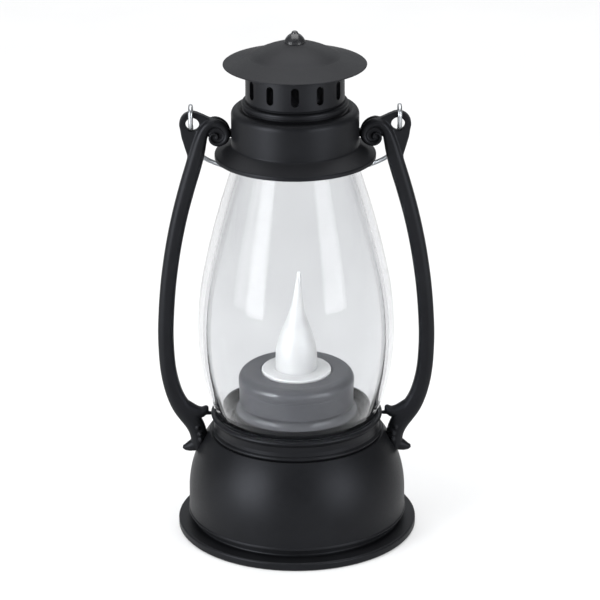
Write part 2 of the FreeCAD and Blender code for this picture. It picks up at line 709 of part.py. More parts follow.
def arm_right():
    outer = spline([(22.6, 0, 102.4), (24.2, 0, 98.6), (25.5, 0, 94.8), (27.5, 0, 87.35), (29.5, 0, 79.8),
                    (31.1, 0, 72.2), (32.35, 0, 64.6), (33.12, 0, 56.1), (33.34, 0, 49.4), (32.92, 0, 39.7),
                    (31.15, 0, 32.2), (28.95, 0, 27.65), (26.1, 0, 23.9)])
    inner = spline([(22.3, 0, 30.7), (24.3, 0, 30.65), (26.3, 0, 32.4), (28.2, 0, 36.9), (29.2, 0, 43.6),
                    (29.4, 0, 50.0), (28.9, 0, 60.0), (27.8, 0, 68.4), (26.5, 0, 76.0), (24.6, 0, 83.6),
                    (22.4, 0, 91.1), (20.9, 0, 96.4), (20.2, 0, 98.6)])
    rim = [
        outer,
        Part.Arc(V(26.1, 0, 23.9), V(26.25, 0, 21.7), V(28.05, 0, 20.1)).toShape(),
        Part.Arc(V(28.05, 0, 20.1), V(26.4, 0, 18.65), V(24.1, 0, 19.0)).toShape(),
        line((24.1, 0, 19.0), (21.6, 0, 18.0)),
        line((21.6, 0, 18.0), (20.9, 0, 23.2)),
        line((20.9, 0, 23.2), (21.7, 0, 24.0)),
        Part.Arc(V(21.7, 0, 24.0), V(22.3, 0, 25.5), V(22.75, 0, 27.0)).toShape(),
        line((22.75, 0, 27.0), (21.6, 0, 27.9)),
        Part.Arc(V(21.6, 0, 27.9), V(21.45, 0, 29.5), V(21.7, 0, 30.85)).toShape(),
        line((21.7, 0, 30.85), (22.3, 0, 30.7)),
        inner,
        line((20.2, 0, 98.6), (22.6, 0, 102.4)),
    ]
    bar = Part.Face(Part.Wire(rim)).extrude(V(0, ARM_T, 0))
    bar.translate(V(0, -ARM_T / 2.0, 0))
    face_edges = [e for e in bar.Edges if abs(abs(e.CenterOfMass.y) - ARM_T / 2.0) < 1e-3]
    bar = bar.makeChamfer(0.3, face_edges)
    scroll = Part.makeCylinder(SCROLL_R, ARM_T, V(SCROLL_X, -ARM_T / 2.0, SCROLL_Z), V(0, 1, 0))
    scroll = scroll.makeFillet(0.6, [e for e in scroll.Edges if e.Length > 3.0 * SCROLL_R and
                                     abs(abs(e.CenterOfMass.y) - ARM_T / 2.0) < 1e-3])
    for y in (-ARM_T / 2.0, ARM_T / 2.0):
        ring = Part.makeTorus(1.9, 0.35, V(SCROLL_X, y, SCROLL_Z), V(0, 1, 0))
        scroll = scroll.cut(ring)
    eye = Part.makeCylinder(EYE_R, EYE_T, V(EYE_X, -EYE_T / 2.0, EYE_Z), V(0, 1, 0))
    gusset = Part.Face(Part.makePolygon([
        V(27.2, 0, 102.0), V(26.45, 0, 97.8), V(25.5, 0, 94.8), V(21.0, 0, 96.0), V(19.2, 0, 103.7),
        V(22.6, 0, 105.1), V(27.2, 0, 102.0)])).extrude(V(0, EYE_T, 0))
    gusset.translate(V(0, -EYE_T / 2.0, 0))
    arm = bar.fuse(scroll).fuse(eye).fuse(gusset)
    arm = arm.cut(Part.makeCylinder(EYE_HOLE_R, 8, V(EYE_X, -4, EYE_Z), V(0, 1, 0)))
    arm = arm.cut(bowl_solid()).cut(rod(COLLAR_R, 90, 110))
    arm = arm.fuse(arm_foot_peg(1)).fuse(arm_top_peg(1)).fuse(arm_nib(1))
    return arm.removeSplitter()


def arm_left():
    return mirrored(arm_right())


# ---------------------------------------------------------------- bail
def bail():
    """One bent wire: hook ring, leg, shoulder, flat bow, and the same again mirrored."""
    x = RING_X
    c45 = math.cos(math.radians(45))
    low = RING_LOW_Z - RING_R
    down = V(0, math.cos(LEG_TILT), -math.sin(LEG_TILT))
    bend_end = V(x, LEG_OUT + LEG_BEND_R * math.sin(LEG_TILT), low - LEG_BEND_R * (1 - math.cos(LEG_TILT)))
    bend_mid = V(x, LEG_OUT + LEG_BEND_R * math.sin(LEG_TILT / 2),
                 low - LEG_BEND_R * (1 - math.cos(LEG_TILT / 2)))
    leg_top = V(0, bend_end.y, bend_end.z)
    across = x - BOW_SHOULDER_R
    rise = math.sqrt((BOW_R - BOW_SHOULDER_R) ** 2 - across ** 2)
    bow_centre = LEG_LEN - rise
    meet = math.atan2(rise, across)

    def in_plane(u, v):
        return leg_top + V(u, 0, 0) + down * v

    def on_shoulder(a):
        return in_plane(across + BOW_SHOULDER_R * math.cos(a), LEG_LEN + BOW_SHOULDER_R * math.sin(a))

    def on_bow(a):
        return in_plane(BOW_R * math.cos(a), bow_centre + BOW_R * math.sin(a))

    side = [
        Part.LineSegment(V(x, RING_R, TAIL_Z), V(x, RING_R, RING_TOP_Z)).toShape(),
        Part.Arc(V(x, RING_R, RING_TOP_Z), V(x, 0, RING_TOP_Z + RING_R), V(x, -RING_R, RING_TOP_Z)).toShape(),
        Part.LineSegment(V(x, -RING_R, RING_TOP_Z), V(x, -RING_R, RING_LOW_Z)).toShape(),
        Part.Arc(V(x, -RING_R, RING_LOW_Z), V(x, -RING_R * c45, RING_LOW_Z - RING_R * c45),
                 V(x, 0, low)).toShape(),
        Part.LineSegment(V(x, 0, low), V(x, LEG_OUT, low)).toShape(),
        Part.Arc(V(x, LEG_OUT, low), bend_mid, bend_end).toShape(),
        Part.LineSegment(bend_end, on_shoulder(0)).toShape(),
        Part.Arc(on_shoulder(0), on_shoulder(meet / 2), on_shoulder(meet)).toShape(),
        Part.Arc(on_bow(meet), on_bow((meet + math.pi / 2) / 2), on_bow(math.pi / 2)).toShape(),
    ]
    half = tube(side, WIRE_R)
    return half.fuse(mirrored(half)).removeSplitter()


# ---------------------------------------------------------------- output
def build():
    nodes = {
        "foot_plate": foot_plate(),
        "base_shell": base_shell(),
        "base_screws": base_screws(),
        "battery_door": battery_door(),
        "battery_door_screw": battery_door_screw(),
        "contact_positive": contact(-1),
        "contact_negative": contact(1),
        "switch_body": switch_body(),
        "switch_knob": switch_knob(),
        "led_board": led_board(),
        "led_resistor": led_resistor(),
        "led": led(),
        "lead_positive": lead_positive(),
        "lead_negative": lead_negative(),
        "lead_switched": lead_switched(),
        "candle_cup": candle_cup(),
        "flame_diffuser": flame_diffuser(),
        "neck_ring": neck_ring(),
        "globe": globe(),
        "top_collar": top_collar(),
        "vent_chimney": vent_chimney(),
        "roof_cap": roof_cap(),
        "finial": finial(),
        "arm_left": arm_left(),
        "arm_right": arm_right(),
        "bail": bail(),
    }
    for index in range(3):
        nodes["button_cell_%d" % (index + 1)] = button_cell(index)
    return nodes


os.makedirs("parts", exist_ok=True)
for name, shape in build().items():
    shape.exportStep("parts/%s.step" % name)
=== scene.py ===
import json
import math

import bmesh
import bpy
import numpy as np
from mathutils import Matrix, Vector


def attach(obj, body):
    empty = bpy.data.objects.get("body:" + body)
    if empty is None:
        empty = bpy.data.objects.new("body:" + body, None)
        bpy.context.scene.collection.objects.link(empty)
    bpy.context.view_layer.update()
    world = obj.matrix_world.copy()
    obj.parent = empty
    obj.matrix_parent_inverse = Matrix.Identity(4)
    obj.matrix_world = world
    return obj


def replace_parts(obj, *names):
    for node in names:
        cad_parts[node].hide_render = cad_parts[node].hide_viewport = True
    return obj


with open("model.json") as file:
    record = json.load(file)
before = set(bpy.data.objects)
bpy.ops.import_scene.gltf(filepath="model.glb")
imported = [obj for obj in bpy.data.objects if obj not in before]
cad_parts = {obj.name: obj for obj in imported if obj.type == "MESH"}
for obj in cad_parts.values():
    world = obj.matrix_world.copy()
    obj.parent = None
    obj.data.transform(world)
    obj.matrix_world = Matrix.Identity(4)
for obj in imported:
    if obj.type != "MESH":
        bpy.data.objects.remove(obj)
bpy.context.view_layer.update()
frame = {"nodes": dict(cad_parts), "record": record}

MM = 0.001


# ------------------------------------------------------------------ materials
MOTTLE_SIZE = 0.009          # faint colour clouds of moulded plastic
FLOW_SIZE = 0.0022           # soft waves left by the mould
CLOUD_SIZE = 0.003           # colour clouds of metal
GLOBE_CLOUD_SIZE = 0.02
PLASTIC_IOR = 1.49
GLOBE_REFLECTION = 0.185     # how much of the plain reflection the thin clear wall keeps
GLOBE_SHADE = (0.86, 0.87, 0.88)     # lamp light left after each side of the wall
FLAME_CLOUD_SIZE = 0.004
FLAME_GRAIN = 0.0004
FLAME_GLOW = 0.7             # share of light scattered inside the milky plastic
FLAME_DEPTH = (0.0036, 0.0035, 0.0034)


def nodes_for(name):
    """A new node material: its tree, its shader and its object coordinates."""
    mat = bpy.data.materials.new(name)
    mat.use_nodes = True
    tree = mat.node_tree
    tree.nodes.clear()
    out = tree.nodes.new("ShaderNodeOutputMaterial")
    bsdf = tree.nodes.new("ShaderNodeBsdfPrincipled")
    tree.links.new(bsdf.outputs["BSDF"], out.inputs["Surface"])
    coord = tree.nodes.new("ShaderNodeTexCoord")
    return mat, tree, bsdf, coord.outputs["Object"]


def noise(tree, vector, size, detail=2.0, stretch=None):
    """Noise whose features are about size metres across."""
    tex = tree.nodes.new("ShaderNodeTexNoise")
    tex.inputs["Scale"].default_value = 1.0 / size
    tex.inputs["Detail"].default_value = detail
    if stretch:
        mapping = tree.nodes.new("ShaderNodeMapping")
        mapping.inputs["Scale"].default_value = stretch
        tree.links.new(vector, mapping.inputs["Vector"])
        vector = mapping.outputs["Vector"]
    tree.links.new(vector, tex.inputs["Vector"])
    return tex.outputs["Fac"]


def spread(tree, value, low, high):
    """Noise lies mostly between 0.3 and 0.7: stretch that band to low..high."""
    node = tree.nodes.new("ShaderNodeMapRange")
    node.inputs["From Min"].default_value = 0.3
    node.inputs["From Max"].default_value = 0.7
    node.inputs["To Min"].default_value = low
    node.inputs["To Max"].default_value = high
    tree.links.new(value, node.inputs["Value"])
    return node.outputs["Result"]


def blend_colour(tree, value, dark, light):
    node = tree.nodes.new("ShaderNodeMix")
    node.data_type = "RGBA"
    node.inputs["A"].default_value = (*dark, 1.0)
    node.inputs["B"].default_value = (*light, 1.0)
    tree.links.new(value, node.inputs["Factor"])
    return node.outputs["Result"]


def add_bump(tree, bsdf, heights, distance):
    """heights: sockets with their share; the sum drives one bump of that distance."""
    total = None
    for socket, share in heights:
        scaled = tree.nodes.new("ShaderNodeMath")
        scaled.operation = "MULTIPLY"
        scaled.inputs[1].default_value = share
        tree.links.new(socket, scaled.inputs[0])
        if total is None:
            total = scaled.outputs[0]
        else:
            plus = tree.nodes.new("ShaderNodeMath")
            plus.operation = "ADD"
            tree.links.new(total, plus.inputs[0])
            tree.links.new(scaled.outputs[0], plus.inputs[1])
            total = plus.outputs[0]
    bump = tree.nodes.new("ShaderNodeBump")
    bump.inputs["Strength"].default_value = 1.0
    bump.inputs["Distance"].default_value = distance
    tree.links.new(total, bump.inputs["Height"])
    tree.links.new(bump.outputs["Normal"], bsdf.inputs["Normal"])


def moulded(name, dark, light, rough, grain=0.00035, depth=0.000010, specular=0.5,
            tint=(1.0, 1.0, 1.0)):
    """Satin moulded plastic: fine spark-eroded grain, faint mottling and flow marks."""
    mat, tree, bsdf, here = nodes_for(name)
    mottle = noise(tree, here, MOTTLE_SIZE, 3.0)
    fine = noise(tree, here, grain, 2.0)
    soft = noise(tree, here, FLOW_SIZE, 2.0)
    colour = blend_colour(tree, spread(tree, mottle, 0.0, 1.0), dark, light)
    tree.links.new(colour, bsdf.inputs["Base Color"])
    rough_mix = tree.nodes.new("ShaderNodeMath")
    rough_mix.operation = "ADD"
    tree.links.new(spread(tree, fine, rough[0], rough[1]), rough_mix.inputs[0])
    tree.links.new(spread(tree, mottle, -0.02, 0.03), rough_mix.inputs[1])
    tree.links.new(rough_mix.outputs[0], bsdf.inputs["Roughness"])
    bsdf.inputs["Specular IOR Level"].default_value = specular
    bsdf.inputs["Specular Tint"].default_value = (*tint, 1.0)
    add_bump(tree, bsdf, [(fine, 1.0), (soft, 0.5)], depth)
    return mat


def metal(name, dark, light, rough, streak=(1.0, 1.0, 1.0), size=0.0006, depth=0.000004):
    """Plated metal with fine drawn or brushed lines."""
    mat, tree, bsdf, here = nodes_for(name)
    bsdf.inputs["Metallic"].default_value = 1.0
    lines = noise(tree, here, size, 3.0, streak)
    cloud = noise(tree, here, CLOUD_SIZE, 2.0)
    colour = blend_colour(tree, spread(tree, cloud, 0.0, 1.0), dark, light)
    tree.links.new(colour, bsdf.inputs["Base Color"])
    tree.links.new(spread(tree, lines, rough[0], rough[1]), bsdf.inputs["Roughness"])
    add_bump(tree, bsdf, [(lines, 1.0)], depth)
    return mat


def clear_plastic(name):
    """Clear polished plastic that lets lamp light through its walls."""
    mat, tree, bsdf, here = nodes_for(name)
    bsdf.inputs["Transmission Weight"].default_value = 1.0
    bsdf.inputs["IOR"].default_value = PLASTIC_IOR
    cloud = noise(tree, here, GLOBE_CLOUD_SIZE, 2.0)
    colour = blend_colour(tree, spread(tree, cloud, 0.0, 1.0), (0.800, 0.806, 0.815), (0.830, 0.836, 0.845))
    tree.links.new(colour, bsdf.inputs["Base Color"])
    tree.links.new(spread(tree, cloud, 0.02, 0.04), bsdf.inputs["Roughness"])
    bsdf.inputs["Specular Tint"].default_value = (GLOBE_REFLECTION, GLOBE_REFLECTION, GLOBE_REFLECTION, 1.0)
    out = [n for n in tree.nodes if n.type == "OUTPUT_MATERIAL"][0]
    path = tree.nodes.new("ShaderNodeLightPath")
    passing = tree.nodes.new("ShaderNodeBsdfTransparent")
    passing.inputs["Color"].default_value = (*GLOBE_SHADE, 1.0)
    mix = tree.nodes.new("ShaderNodeMixShader")
    tree.links.new(path.outputs["Is Shadow Ray"], mix.inputs["Fac"])
    tree.links.new(bsdf.outputs["BSDF"], mix.inputs[1])
    tree.links.new(passing.outputs["BSDF"], mix.inputs[2])
    tree.links.new(mix.outputs["Shader"], out.inputs["Surface"])
    return mat


def milky(name):
    """White translucent plastic of the false flame."""
    mat, tree, bsdf, here = nodes_for(name)
    cloud = noise(tree, here, FLAME_CLOUD_SIZE, 3.0)
    fine = noise(tree, here, FLAME_GRAIN, 2.0)
    colour = blend_colour(tree, spread(tree, cloud, 0.0, 1.0), (0.42, 0.415, 0.405), (0.46, 0.455, 0.445))
    tree.links.new(colour, bsdf.inputs["Base Color"])
    tree.links.new(spread(tree, fine, 0.34, 0.44), bsdf.inputs["Roughness"])
    bsdf.inputs["Subsurface Weight"].default_value = FLAME_GLOW
    bsdf.inputs["Subsurface Radius"].default_value = FLAME_DEPTH
    bsdf.inputs["Subsurface Scale"].default_value = 1.0
    add_bump(tree, bsdf, [(fine, 1.0)], 0.000006)
    return mat


BLACK = moulded("black_plastic", (0.0032, 0.0033, 0.0038), (0.0050, 0.0052, 0.0059), (0.41, 0.49),
                depth=0.000005, specular=0.15, tint=(0.88, 0.90, 0.98))
# the candle cup's base colour is painted far lighter than the black plastic: painted light for the
# reflections and lamp light it shows through the globe
CUP_BLACK_PAINTED_LIGHT = moulded("cup_plastic", (0.038, 0.0385, 0.0430), (0.047, 0.0475, 0.0520), (0.34, 0.42),
                    depth=0.000001, specular=0.45)
GLOSS_BLACK = moulded("finial_plastic", (0.010, 0.0102, 0.0112), (0.014, 0.0142, 0.0155), (0.22, 0.30),
                      depth=0.000002, specular=0.5)
CLEAR = clear_plastic("clear_plastic")
FLAME = milky("flame_plastic")
WIRE = metal("zinc_wire", (0.30, 0.31, 0.32), (0.42, 0.43, 0.44), (0.28, 0.40), size=0.0004)
STEEL = metal("screw_steel", (0.50, 0.50, 0.50), (0.66, 0.66, 0.65), (0.22, 0.38))
CELL = metal("cell_steel", (0.62, 0.62, 0.60), (0.78, 0.78, 0.76), (0.14, 0.24), (1.0, 0.2, 0.2))
STRIP = metal("contact_steel", (0.55, 0.54, 0.50), (0.70, 0.68, 0.62), (0.22, 0.34))
BOARD = moulded("board", (0.020, 0.10, 0.045), (0.03, 0.15, 0.07), (0.28, 0.36), 0.0006)
EPOXY = moulded("led_epoxy", (0.72, 0.63, 0.40), (0.80, 0.72, 0.50), (0.08, 0.14), 0.002, 0.000002)
CHIP = moulded("resistor_black", (0.012, 0.012, 0.012), (0.02, 0.02, 0.02), (0.30, 0.40))
SWITCH = moulded("switch_grey", (0.012, 0.012, 0.013), (0.020, 0.020, 0.021), (0.35, 0.45))
KNOB = moulded("knob_white", (0.55, 0.55, 0.53), (0.66, 0.66, 0.64), (0.32, 0.42))
RED = moulded("lead_red", (0.34, 0.012, 0.010), (0.45, 0.022, 0.016), (0.36, 0.46), 0.0008)
LEAD_BLACK = moulded("lead_black", (0.010, 0.010, 0.010), (0.018, 0.018, 0.018), (0.36, 0.46), 0.0008)

BY_SLOT = {
    "black_plastic": BLACK, "clear_plastic": CLEAR, "flame_plastic": FLAME, "zinc_wire": WIRE,
    "screw_steel": STEEL, "cell_steel": CELL, "contact_steel": STRIP, "board": BOARD, "led_epoxy": EPOXY,
    "resistor_black": CHIP, "switch_grey": SWITCH, "knob_white": KNOB, "lead_red": RED,
    "lead_black": LEAD_BLACK,
}
# two pieces with their own look: the candle cup's black is painted lighter, a painted stand-in for the lamp
# light and reflections seen on it through the globe; the finial is a glossier moulding
BY_NODE = {"candle_cup": CUP_BLACK_PAINTED_LIGHT, "finial": GLOSS_BLACK}

for part in frame["record"]["subparts"]:
    cad_object = frame["nodes"][part["node"]]
    cad_object.data.materials.clear()
    cad_object.data.materials.append(BY_NODE.get(part["node"], BY_SLOT[part["material_slot"]]))


# ------------------------------------------------------------------ mesh tools
def to_object(name, bm, material, body):
    """A smooth-shaded visual piece that rides on a body."""
    bmesh.ops.recalc_face_normals(bm, faces=bm.faces)
    mesh = bpy.data.meshes.new(name)
    bm.to_mesh(mesh)
    bm.free()
    mesh.materials.append(material)
    for poly in mesh.polygons:
        poly.use_smooth = True
    obj = bpy.data.objects.new(name, mesh)
    bpy.context.scene.collection.objects.link(obj)
    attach(obj, body)
    return obj


def smooth_curve(points, count):
    """Points evenly placed along a centripetal Catmull-Rom curve through the given points."""
    fine = 24
    p = np.array(points, float)
    p = np.vstack([2 * p[0] - p[1], p, 2 * p[-1] - p[-2]])
    out = []
    for i in range(1, len(p) - 2):
        a, b, c, d = p[i - 1], p[i], p[i + 1], p[i + 2]
        t0 = 0.0
        t1 = t0 + np.linalg.norm(b - a) ** 0.5
        t2 = t1 + np.linalg.norm(c - b) ** 0.5
        t3 = t2 + np.linalg.norm(d - c) ** 0.5
        for t in np.linspace(t1, t2, fine, endpoint=False):
            a1 = (t1 - t) / (t1 - t0) * a + (t - t0) / (t1 - t0) * b
            a2 = (t2 - t) / (t2 - t1) * b + (t - t1) / (t2 - t1) * c
            a3 = (t3 - t) / (t3 - t2) * c + (t - t2) / (t3 - t2) * d
            b1 = (t2 - t) / (t2 - t0) * a1 + (t - t0) / (t2 - t0) * a2
            b2 = (t3 - t) / (t3 - t1) * a2 + (t - t1) / (t3 - t1) * a3
            out.append((t2 - t) / (t2 - t1) * b1 + (t - t1) / (t2 - t1) * b2)
    out.append(p[-2])
    out = np.array(out)
    step = np.r_[0, np.cumsum(np.linalg.norm(np.diff(out[:, :2], axis=0), axis=1))]
    want = np.linspace(0, step[-1], count)
    return np.stack([np.interp(want, step, out[:, k]) for k in range(out.shape[1])], 1)


def lathe(bm, outline, segments):
    """Turns a closed outline of (r, z) millimetre pairs about Z."""
    on_axis = 1e-6
    rings = []
    for r, z in outline:
        if r < on_axis:
            rings.append([bm.verts.new((0, 0, z * MM))])
            continue
        rings.append([bm.verts.new((r * MM * math.cos(2 * math.pi * k / segments),
                                    r * MM * math.sin(2 * math.pi * k / segments), z * MM))
                      for k in range(segments)])
    for i, ring in enumerate(rings):
        after = rings[(i + 1) % len(rings)]
        if len(ring) == 1 and len(after) == 1:
            continue
        for k in range(segments):
            n = (k + 1) % segments
            corners = [ring[k % len(ring)], ring[n % len(ring)],
                       after[n % len(after)], after[k % len(after)]]
            keep = []
            for v in corners:
                if v not in keep:
                    keep.append(v)
            bm.faces.new(keep)


# ------------------------------------------------------------------ globe and flame
# outlines as z, r in millimetres
GLOBE_WALL = 2.0
GLOBE_OUTER = ((27.05, 18.3), (33.5, 20.9), (41.5, 22.9), (50.5, 23.6), (60.6, 22.95), (71.0, 20.95),
               (83.0, 17.8), (94.7, 14.1), (97.4, 13.3))
GLOBE_FOOT = ((30.0, 17.35), (29.2, 16.75), (28.6, 16.2), (28.05, 15.85), (27.55, 15.7), (27.2, 15.85),
              (27.05, 16.3))
GLOBE_FOOT_BLEND = 1.2       # height over which the wall runs into the thicker foot
GLOBE_SEGMENTS = 192

FLAME_OUTER = ((41.0, 5.0), (42.2, 5.0), (44.4, 5.0), (46.5, 4.74), (48.7, 4.2), (51.0, 3.4), (53.0, 2.57),
               (56.0, 1.68), (59.0, 1.12), (62.0, 0.74), (64.4, 0.56))
FLAME_DISC = ((39.62, 8.15), (39.75, 8.38), (40.45, 8.42), (40.68, 8.34), (40.78, 8.1), (40.8, 7.8),
              (40.8, 5.75), (40.95, 5.62), (41.02, 5.45), (41.0, 5.25), (40.92, 5.08))
FLAME_TIP = ((64.95, 0.5), (65.3, 0.38), (65.52, 0.2), (65.58, 0.0))
FLAME_HOLLOW = ((56.0, 0.0), (55.4, 0.4), (53.0, 1.3), (49.0, 2.9), (45.0, 3.7), (41.5, 3.5), (40.6, 2.7),
                (39.62, 2.7))
FLAME_SEGMENTS = 96
FLAME_LEAN = 0.75            # how far the tip leans to the right
LEAN_FROM, LEAN_TO = 46.0, 65.6
LEAN_POWER = 1.5


def turned(outline):
    """(z, r) pairs as (r, z) pairs."""
    return [(r, z) for z, r in outline]


def build_globe():
    skin = smooth_curve(turned(GLOBE_OUTER), 90)
    foot_top = GLOBE_FOOT[0][0]
    inner = [(r - GLOBE_WALL, z) for r, z in skin[::-1] if z > foot_top + GLOBE_FOOT_BLEND]
    foot = smooth_curve([inner[-1]] + turned(GLOBE_FOOT), 34)[1:]
    bm = bmesh.new()
    lathe(bm, [tuple(p) for p in skin] + inner + [tuple(p) for p in foot], GLOBE_SEGMENTS)
    return to_object("globe_wall", bm, CLEAR, "lantern")


def build_flame():
    skin = turned(FLAME_DISC)
    skin += [tuple(p) for p in smooth_curve(turned(FLAME_OUTER), 40)]
    skin += turned(FLAME_TIP)
    bm = bmesh.new()
    lathe(bm, skin + turned(FLAME_HOLLOW), FLAME_SEGMENTS)
    low, high = LEAN_FROM * MM, LEAN_TO * MM
    for v in bm.verts:
        if v.co.z > low:
            v.co.x += FLAME_LEAN * MM * ((v.co.z - low) / (high - low)) ** LEAN_POWER
    return to_object("flame_shell", bm, FLAME, "lantern")


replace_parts(build_globe(), "globe")
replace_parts(build_flame(), "flame_diffuser")


# ------------------------------------------------------------------ side arms
# millimetres; the right arm lies in the XZ plane, and the left one is its mirror image
EYE = (24.15, 102.45)
EYE_R = 3.1
EYE_HOLE_R = 1.62
EYE_T = 1.8
WEB_OVERLAP = 0.25           # how far the webs reach into the ring of the eye
VOLUTE = (18.75, 99.5)
VOLUTE_CORE_T = 2.3
COIL_FACE = 1.75             # front of the coil, at its middle turn

# x, z, width, thickness of the bar, foot to scroll
BAR = ((23.6, 19.6, 3.0, 3.2), (23.7, 21.0, 4.0, 3.6), (23.8, 22.6, 4.1, 3.7), (24.2, 24.4, 4.2, 3.8),
       (25.1, 26.4, 4.4, 3.9), (26.4, 28.3, 4.5, 3.9), (28.0, 30.6, 4.4, 3.8), (29.35, 33.4, 4.1, 3.7),
       (30.35, 36.8, 3.95, 3.6), (31.0, 40.5, 3.85, 3.5), (31.33, 45.0, 3.8, 3.4), (31.4, 50.0, 3.8, 3.4),
       (31.1, 56.1, 3.8, 3.4), (30.75, 60.4, 3.8, 3.4), (30.25, 64.8, 3.8, 3.4), (29.1, 72.2, 3.8, 3.4),
       (27.5, 79.8, 3.8, 3.4), (25.5, 87.3, 3.85, 3.4), (24.3, 91.3, 3.85, 3.4), (23.2, 95.2, 3.7, 3.4),
       (22.4, 98.3, 3.2, 3.5), (21.6, 100.7, 2.7, 3.6), (20.4, 102.3, 2.5, 3.7), (18.9, 103.0, 2.4, 3.7))

# angle about the volute's centre, distance of the ridge, its half width
COIL = ((85, 3.45, 1.15), (120, 3.2, 1.0), (150, 2.95, 0.85), (180, 2.7, 0.74), (225, 2.1, 0.58),
        (270, 1.68, 0.48), (315, 1.42, 0.40), (360, 1.28, 0.36), (420, 1.0, 0.31), (480, 0.78, 0.28),
        (540, 0.52, 0.26), (600, 0.25, 0.24))
# angle and distance of the flat core that closes the coil
CORE = ((30, 3.2), (90, 3.4), (150, 3.1), (180, 2.8), (225, 2.2), (270, 1.75), (315, 1.5), (385, 1.5))

# unit cross-section, outer edge first: across the bar, front to back
SECTION = ((1.0, -0.22), (0.92, -0.55), (0.62, -0.86), (0.28, -1.0), (-0.1, -0.97), (-0.6, -0.85),
           (-0.9, -0.62), (-1.0, -0.3), (-1.0, 0.3), (-0.9, 0.62), (-0.6, 0.85), (-0.1, 0.97),
           (0.28, 1.0), (0.62, 0.86), (0.92, 0.55), (1.0, 0.22))

# x, z of the webs below and beside the eye, after the arc round its hole
WEB_BELOW = ((27.2, 102.15), (26.75, 99.3), (26.1, 97.0), (25.45, 94.8), (25.6, 93.4), (24.0, 92.4),
             (21.6, 96.0), (20.9, 99.0), (20.6, 101.6))
WEB_BESIDE = ((23.2, 105.35), (22.0, 104.9), (20.7, 104.25), (19.4, 103.7), (19.0, 102.0), (20.8, 101.2))

# round tapered pieces: front-to-back scale, then x, z, radius along each
HORNS = (
    # spur at the neck, and the small peg from it into the neck ring
    (0.95, ((27.0, 30.6, 1.7), (25.6, 29.6, 1.75), (24.2, 29.0, 1.62), (23.0, 29.1, 1.45),
            (22.3, 29.6, 1.15), (21.95, 30.3, 0.7), (21.8, 30.7, 0.35))),
    (1.0, ((23.0, 28.75, 0.6), (22.0, 28.75, 0.5), (20.7, 28.75, 0.45))),
    # toe of the leaf foot
    (0.9, ((23.4, 21.3, 1.9), (24.4, 20.75, 1.85), (25.4, 20.25, 1.55), (26.4, 19.9, 1.2),
           (27.2, 19.75, 0.85), (27.85, 19.85, 0.42))),
    # stub from the volute into the collar
    (1.0, ((16.6, 100.0, 1.0), (15.5, 100.2, 1.05), (14.4, 100.3, 1.05))),
)

# x, z, radius of the small beads on the leaf foot, on both faces
BEADS = ((24.0, 25.6, 0.55), (23.4, 23.9, 0.6), (23.3, 22.4, 0.6))
BEAD_Y = 1.75
VOXEL = 0.16
RELAX_TURNS = 5


def sweep(bm, stations, section):
    """stations: x, z, width, thickness in millimetres, with the path in the XZ plane."""
    s = np.array(stations, float)
    tangent = np.gradient(s[:, :2], axis=0)
    tangent /= np.linalg.norm(tangent, axis=1)[:, None]
    rings = []
    for (x, z, wide, thick), (tx, tz) in zip(s, tangent):
        nx, nz = tz, -tx
        ring = []
        for a, b in section:
            ring.append(bm.verts.new(((x + nx * a * wide / 2) * MM, b * thick / 2 * MM,
                                      (z + nz * a * wide / 2) * MM)))
        rings.append(ring)
    for one, two in zip(rings, rings[1:]):
        for k in range(len(section)):
            n = (k + 1) % len(section)
            bm.faces.new((one[k], one[n], two[n], two[k]))
    bm.faces.new(rings[0][::-1])
    bm.faces.new(rings[-1])


def horn(bm, points, flat=1.0, segments=14):
    """Round tapered horn through (x, y, z, radius) points; flat scales it front to back."""
    p = np.array(points, float)
    tangent = np.gradient(p[:, :3], axis=0)
    rings = []
    for (x, y, z, r), t in zip(p, tangent):
        t = Vector(t).normalized()
        side = t.cross(Vector((0, 1, 0))).normalized()
        front = side.cross(t).normalized()
        ring = []
        for k in range(segments):
            a = 2 * math.pi * k / segments
            q = Vector((x, y, z)) + side * (r * math.cos(a)) + front * (r * flat * math.sin(a))
            ring.append(bm.verts.new(q * MM))
        rings.append(ring)
    for one, two in zip(rings, rings[1:]):
        for k in range(segments):
            n = (k + 1) % segments
            bm.faces.new((one[k], one[n], two[n], two[k]))
    bm.faces.new(rings[0][::-1])
    bm.faces.new(rings[-1])


def plate(bm, outline, y0, y1):
    """Flat closed plate in the XZ plane from an outline of (x, z) pairs."""
    front = [bm.verts.new((x * MM, y0 * MM, z * MM)) for x, z in outline]
    back = [bm.verts.new((x * MM, y1 * MM, z * MM)) for x, z in outline]
    bm.faces.new(front)
    bm.faces.new(back[::-1])
    for k in range(len(outline)):
        n = (k + 1) % len(outline)
        bm.faces.new((front[n], front[k], back[k], back[n]))


def arc(cx, cz, r, a0, a1, count):
    return [(cx + r * math.cos(math.radians(a)), cz + r * math.sin(math.radians(a)))
            for a in np.linspace(a0, a1, count)]


def ring_plate(bm, cx, cz, r_in, r_out, y0, y1, segments=48):
    loops = []
    for r, y in ((r_in, y0), (r_out, y0), (r_out, y1), (r_in, y1)):
        loops.append([bm.verts.new(((cx + r * math.cos(2 * math.pi * k / segments)) * MM, y * MM,
                                    (cz + r * math.sin(2 * math.pi * k / segments)) * MM))
                      for k in range(segments)])
    for i in range(4):
        one, two = loops[i], loops[(i + 1) % 4]
        for k in range(segments):
            n = (k + 1) % segments
            bm.faces.new((one[k], one[n], two[n], two[k]))


def part_mesh(bm):
    bmesh.ops.recalc_face_normals(bm, faces=bm.faces)
    mesh = bpy.data.meshes.new("part")
    bm.to_mesh(mesh)
    bm.free()
    return mesh


